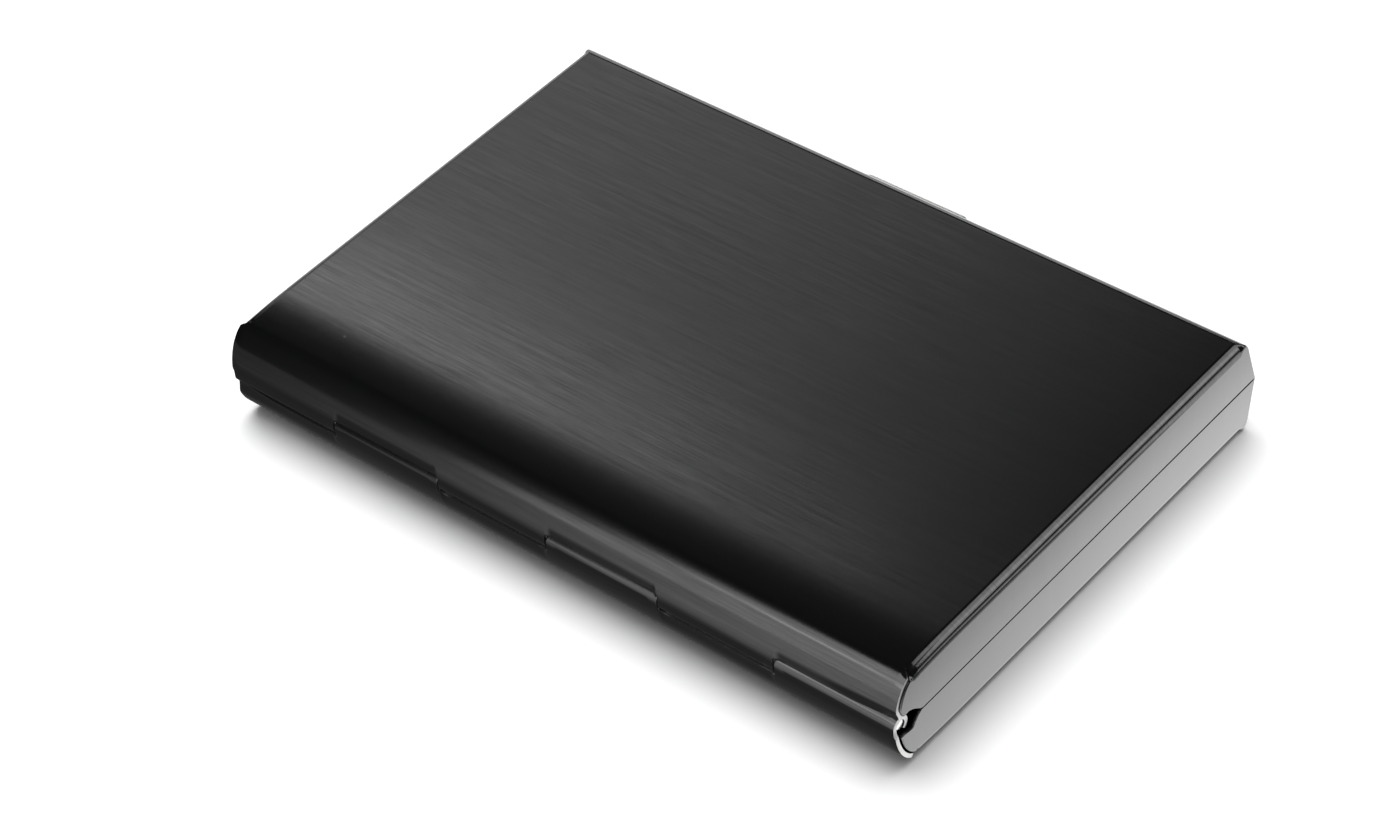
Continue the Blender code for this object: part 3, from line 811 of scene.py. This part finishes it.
# %% Rivets
HEAD_RADIUS_SHARE = 0.5
for side in ("left", "right"):
    low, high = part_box(f"button_rivet_{side}")
    head_radius = (high.z - low.z) * HEAD_RADIUS_SHARE
    shank_radius = head_radius * 0.5
    dome = 0.25 * MM
    profile = [(0.0, 0.0)]
    for step in range(1, 7):
        angle = math.pi / 2 * step / 6
        profile.append((head_radius * math.sin(angle), dome * (1 - math.cos(angle))))
    profile += [(head_radius, dome + 0.03 * MM), (shank_radius, dome + 0.03 * MM), (shank_radius, high.y - low.y)]
    profile.append((0.0, high.y - low.y))
    bm = bmesh.new()
    axis = Vector(((low.x + high.x) / 2, low.y, (low.z + high.z) / 2))
    verts, edges = chain(bm, [axis + Vector((radius, depth, 0)) for radius, depth in profile])
    bmesh.ops.spin(
        bm, geom=verts + edges, cent=axis, axis=(0, 1, 0), angle=math.tau, steps=32, use_merge=True
    )
    bmesh.ops.remove_doubles(bm, verts=bm.verts, dist=0.0005 * MM)
    solid(bm, f"rivet_{side}", "thumb_latch", "bright_steel", pin_steel, replaced=[f"button_rivet_{side}"])

# %% [markdown]
# The leaf spring bears on the channel at its ends and on the plate in its middle. Pressing the
# button flattens it.

# %% Leaf spring
spring_low, spring_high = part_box("latch_spring")
SPRING_SHEET = 0.2 * MM
STEPS = 24
bm = bmesh.new()
bow = []
for step in range(STEPS + 1):
    x = spring_low.x + (spring_high.x - spring_low.x) * step / STEPS
    rise = (spring_high.y - spring_low.y - SPRING_SHEET) * math.cos(math.pi * x / (2 * spring_high.x)) ** 2
    bow.append((x, spring_low.y + rise, spring_low.z))
verts, edges = chain(bm, bow)
verts, _ = pull(bm, edges)
bmesh.ops.translate(bm, verts=verts, vec=(0, 0, spring_high.z - spring_low.z))
bmesh.ops.recalc_face_normals(bm, faces=bm.faces)
if sum(face.normal.y for face in bm.faces) < 0:
    bmesh.ops.reverse_faces(bm, faces=bm.faces)
bmesh.ops.solidify(bm, geom=bm.faces, thickness=-SPRING_SHEET)
leaf = solid(bm, "leaf_spring", None, "spring_steel", latch_steel, replaced=["latch_spring"])
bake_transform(leaf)

# %% [markdown]
# ## The accordion
# Seven thin plastic panels stand between the shells, and a folded film joins each to the next
# round three sides, so that every pair holds a card. Each panel is a plate with round corners
# and a moulded rim.

# %% Panels
PANEL_COUNT = 7


def body_of_panel(number):
    """The first panel is fixed to the lower shell, and each other one fans out by itself."""
    return "lower_case" if number == 1 else f"panel_{number}"


for number in range(1, PANEL_COUNT + 1):
    low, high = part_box(f"pocket_panel_{number}")
    bm = block(low, high)
    upright = [e for e in bm.edges if abs(e.verts[0].co.z - e.verts[1].co.z) > 0.1 * MM]
    round_edges(bm, upright, 2.0 * MM, 8)
    rim = [e for e in bm.edges if e.is_manifold and e.calc_face_angle() > math.radians(50)]
    round_edges(bm, rim, 0.1 * MM, 2)
    solid(
        bm, f"panel_{number}", body_of_panel(number), "black_plastic", panel_plastic,
        replaced=[f"pocket_panel_{number}"], smooth_angle=50,
    )

# %% [markdown]
# The film is welded along two neighbouring panels' rims and has one fold between them that
# points inwards. It is a path round three sides, pulled in to the fold and out again, then
# given a thickness. It stretches as the fan opens.


# %% Folded film
def u_path(half_x, back_y, front_y, radius, z):
    """Points round three sides of a panel, with rounded corners."""
    found = [Vector((-half_x, front_y, z))]
    for side, first in ((-1, math.pi), (1, 1.5 * math.pi)):
        for step in range(7):
            angle = first + math.pi / 2 * step / 6
            centre = Vector((side * (half_x - radius), back_y + radius, z))
            found.append(centre + Vector((math.cos(angle), math.sin(angle), 0)) * radius)
    return found + [Vector((half_x, front_y, z))]


FILM = 0.1 * MM
FOLD_DEPTH = 3.9 * MM
for number in range(1, PANEL_COUNT):
    web_low, web_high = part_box(f"pocket_web_{number}")
    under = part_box(f"pocket_panel_{number}")[1].z
    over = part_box(f"pocket_panel_{number + 1}")[0].z
    outer_x, back_y, front_y = web_high.x - 0.2 * MM, web_low.y + 0.2 * MM, web_high.y
    levels = (
        (0.0, under + 0.03 * MM),
        (0.12, under + 0.15 * MM),
        (0.85, (under + over) / 2 - 0.1 * MM),
        (1.0, (under + over) / 2),
        (0.85, (under + over) / 2 + 0.1 * MM),
        (0.12, over - 0.15 * MM),
        (0.0, over - 0.03 * MM),
    )
    bm = bmesh.new()
    path = u_path(outer_x, back_y, front_y, 1.8 * MM, levels[0][1])
    place_of = bm.verts.layers.int.new("place")
    verts, edges = chain(bm, path)
    for place, vert in enumerate(verts):
        vert[place_of] = place
    for share, z in levels[1:]:
        depth = FOLD_DEPTH * share
        back_depth = min(depth, 0.75 * MM * share)
        path = u_path(outer_x - depth, back_y + back_depth, front_y, 1.8 * MM, z)
        verts, edges = pull(bm, edges)
        for vert in verts:
            vert.co = path[vert[place_of]]
    bmesh.ops.recalc_face_normals(bm, faces=bm.faces)
    bmesh.ops.solidify(bm, geom=bm.faces, thickness=FILM)
    film = solid(
        bm, f"film_{number}", None, "web_film", web_film, replaced=[f"pocket_web_{number}"], smooth_angle=60
    )
    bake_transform(film)

# %% [markdown]
# ## Camera, floor and light
# The camera looks down at the near corner from a little under half a metre, with a long lens.
# The floor is a plain pale sheet, lit by a large soft box overhead and a wider fill that light only the floor.
# In reflections the floor shows a painted glow instead, brighter in some places than others, which paints the light and
# shade that the steel reflects.

# %% Camera
AZIMUTH, ELEVATION, ROLL = math.radians(44.24), math.radians(42.79), math.radians(-6.59)
back = Vector(
    (math.sin(AZIMUTH) * math.cos(ELEVATION), -math.cos(AZIMUTH) * math.cos(ELEVATION), math.sin(ELEVATION))
)
level = (-back).to_track_quat("-Z", "Y")
turned = level @ Matrix.Rotation(ROLL, 3, "Z").to_quaternion()
camera_data = bpy.data.cameras.new("camera")
camera = bpy.data.objects.new("camera", camera_data)
bpy.context.scene.collection.objects.link(camera)
camera.rotation_mode = "QUATERNION"
camera.rotation_quaternion = turned
footprint = Vector((0, (case_low.y + FRONT_Y) / 2, 0))
camera.location = footprint - (turned @ Vector((5.185, 0.639, -442.4))) * MM
camera_data.sensor_width = 36
camera_data.lens = 3885.4 / 1400 * 36
camera_data.shift_x = 0.00384
camera_data.shift_y = 0.00236
camera_data.clip_start, camera_data.clip_end = 0.01, 20
bpy.context.scene.camera = camera
print("camera at, mm:", [round(c / MM, 1) for c in camera.location])

# %% Floor
floor_bm = bmesh.new()
bmesh.ops.create_grid(floor_bm, x_segments=2, y_segments=2, size=3.0)
floor_mesh = bpy.data.meshes.new("floor")
floor_bm.to_mesh(floor_mesh)
floor_bm.free()
floor = bpy.data.objects.new("floor", floor_mesh)
bpy.context.scene.collection.objects.link(floor)
paper = bpy.data.materials.new("floor_paper_painted_reflections")
paper.use_nodes = True
paper_tree = paper.node_tree
paper_shader = paper_tree.nodes["Principled BSDF"]
paper_shader.inputs["Base Color"].default_value = (0.9, 0.9, 0.9, 1)
paper_shader.inputs["Roughness"].default_value = 0.9
paper_shader.inputs["Specular IOR Level"].default_value = 0.0
path = node(paper_tree, "ShaderNodeLightPath")
spot = node(paper_tree, "ShaderNodeTexCoord")
axes = node(paper_tree, "ShaderNodeSeparateXYZ", {0: spot.outputs["Object"]})
FLOOR_X, FLOOR_Y = axes.outputs["X"], axes.outputs["Y"]


def ramp(source, start, end, low=0.0, high=1.0):
    """A soft step between two places on the floor."""
    made = node(
        paper_tree,
        "ShaderNodeMapRange",
        {"Value": source, "From Min": start, "From Max": end, "To Min": low, "To Max": high},
        interpolation_type="SMOOTHSTEP",
    )
    return made.outputs[0]


def times(*factors):
    """The product of several ramps."""
    product = factors[0]
    for factor in factors[1:]:
        product = math_node(paper_tree, "MULTIPLY", product, factor)
    return product


# Painted reflections: rays reflected off the steel see the floor as a glow whose strength is set place by place (hinge
# side, end walls, far end), so the case reflects painted light and shade there. Camera rays see the plain lit paper.
past_case = math_node(paper_tree, "MULTIPLY", math_node(paper_tree, "ADD", FLOOR_Y, 0.033), -0.6)
launch = math_node(paper_tree, "ADD", FLOOR_X, past_case)
hinge_near = ramp(launch, -0.06, 0.05, 0.09, 0.1)
hinge_mid = times(ramp(launch, -0.06, 0.05, 0.14, 0.68), ramp(FLOOR_Y, -0.036, -0.048))
end_wall_glow = times(ramp(FLOOR_X, 0.0475, 0.0485, 0.0, 2.35), ramp(FLOOR_X, 0.048, 0.064, 1.0, 0.26))
end_far = times(ramp(FLOOR_X, 0.06, 0.078, 1.0, 0.35), ramp(FLOOR_X, 0.08, 0.12, 1.0, 0.5), ramp(FLOOR_Y, -0.04, 0.035, 0.82, 1.12))
end_side = times(end_wall_glow, end_far)
opening_side = ramp(FLOOR_Y, 0.03, 0.034, 0.0, 1.4)
far_end = times(ramp(FLOOR_X, -0.047, -0.05), ramp(FLOOR_Y, -0.03, -0.01), 1.2)
painted_reflection_strength = hinge_near
for other in (hinge_mid, end_side, opening_side, far_end):
    painted_reflection_strength = math_node(paper_tree, "MAXIMUM", painted_reflection_strength, other)
glow = node(paper_tree, "ShaderNodeEmission", {"Strength": painted_reflection_strength})
pick = node(paper_tree, "ShaderNodeMixShader", {0: path.outputs["Is Glossy Ray"]})
paper_tree.links.new(paper_shader.outputs[0], pick.inputs[1])
paper_tree.links.new(glow.outputs[0], pick.inputs[2])
paper_tree.links.new(pick.outputs[0], paper_tree.nodes["Material Output"].inputs["Surface"])
floor_mesh.materials.append(paper)

# %% Lights
only_floor = bpy.data.collections.new("floor_light_receivers")
only_floor.objects.link(floor)
not_floor = bpy.data.collections.new("case_light_receivers")
not_floor.objects.link(floor)
not_floor.collection_objects[0].light_linking.link_state = "EXCLUDE"


def soft_box(name, place, size, radiance, receivers, aim=(0, 0, 0)):
    """A rectangular area light that faces a point, from its brightness as seen."""
    data = bpy.data.lights.new(name, "AREA")
    data.shape = "RECTANGLE"
    data.size, data.size_y = size
    data.energy = radiance * math.pi * size[0] * size[1]
    made = bpy.data.objects.new(name, data)
    made.location = place
    made.rotation_mode = "QUATERNION"
    made.rotation_quaternion = (Vector(aim) - Vector(place)).to_track_quat("-Z", "Y")
    bpy.context.scene.collection.objects.link(made)
    made.light_linking.receiver_collection = receivers
    return made


def ceiling_panel(name, x_range, y_range, radiance):
    """A panel half a metre up that faces straight down."""
    middle = (sum(x_range) / 2, sum(y_range) / 2, 0.5)
    size = (x_range[1] - x_range[0], y_range[1] - y_range[0])
    soft_box(name, middle, size, radiance, not_floor, aim=(middle[0], middle[1], 0))


soft_box("floor_light", (-0.12, 0.12, 0.5), (0.6, 0.6), 4.2, only_floor)
soft_box("floor_fill", (0.0, 0.0, 0.9), (2.4, 2.4), 0.6, only_floor)
panel_edges = (-0.75, -0.46, -0.4, -0.34, -0.28, -0.2)
for number, radiance in enumerate((0.55, 0.44, 0.33, 0.17, 0.05)):
    x_range = (panel_edges[number], panel_edges[number + 1])
    ceiling_panel(f"top_panel_{number}", x_range, (0.358, 0.62), radiance)
    ceiling_panel(f"top_strip_{number}", x_range, (0.31, 0.358), radiance * 2.8)
ceiling_panel("end_panel_near", (0.03, 0.3), (0.18, 0.56), 1.0)
ceiling_panel("end_panel_far", (0.3, 0.62), (0.3, 0.6), 1.5)
soft_box("end_low", (0.56, 0.46, 0.37), (0.34, 0.2), 1.2, not_floor)
soft_box("end_horizon", (0.75, 0.5, 0.075), (0.5, 0.15), 0.42, not_floor)
soft_box("hinge_panel", (-0.13, -0.6, 0.245), (0.5, 0.51), 0.9, not_floor, aim=(-0.13, 0, 0.245))
slanted = soft_box("hinge_ceiling", (-0.105, -0.54, 0.5), (0.5, 0.7), 1.1, not_floor, aim=(-0.105, -0.54, 0))
slanted.rotation_quaternion = Matrix.Rotation(-math.radians(27), 3, "Z").to_quaternion()
soft_box("low_back", (-0.5, 0.52, 0.17), (0.6, 0.2), 1.3, not_floor)
world = bpy.data.worlds.new("studio")
world.use_nodes = True
world.node_tree.nodes["Background"].inputs["Color"].default_value = (0.9, 0.95, 1.0, 1)
world.node_tree.nodes["Background"].inputs["Strength"].default_value = 0.035
bpy.context.scene.world = world
bpy.context.scene.view_settings.view_transform = "Standard"
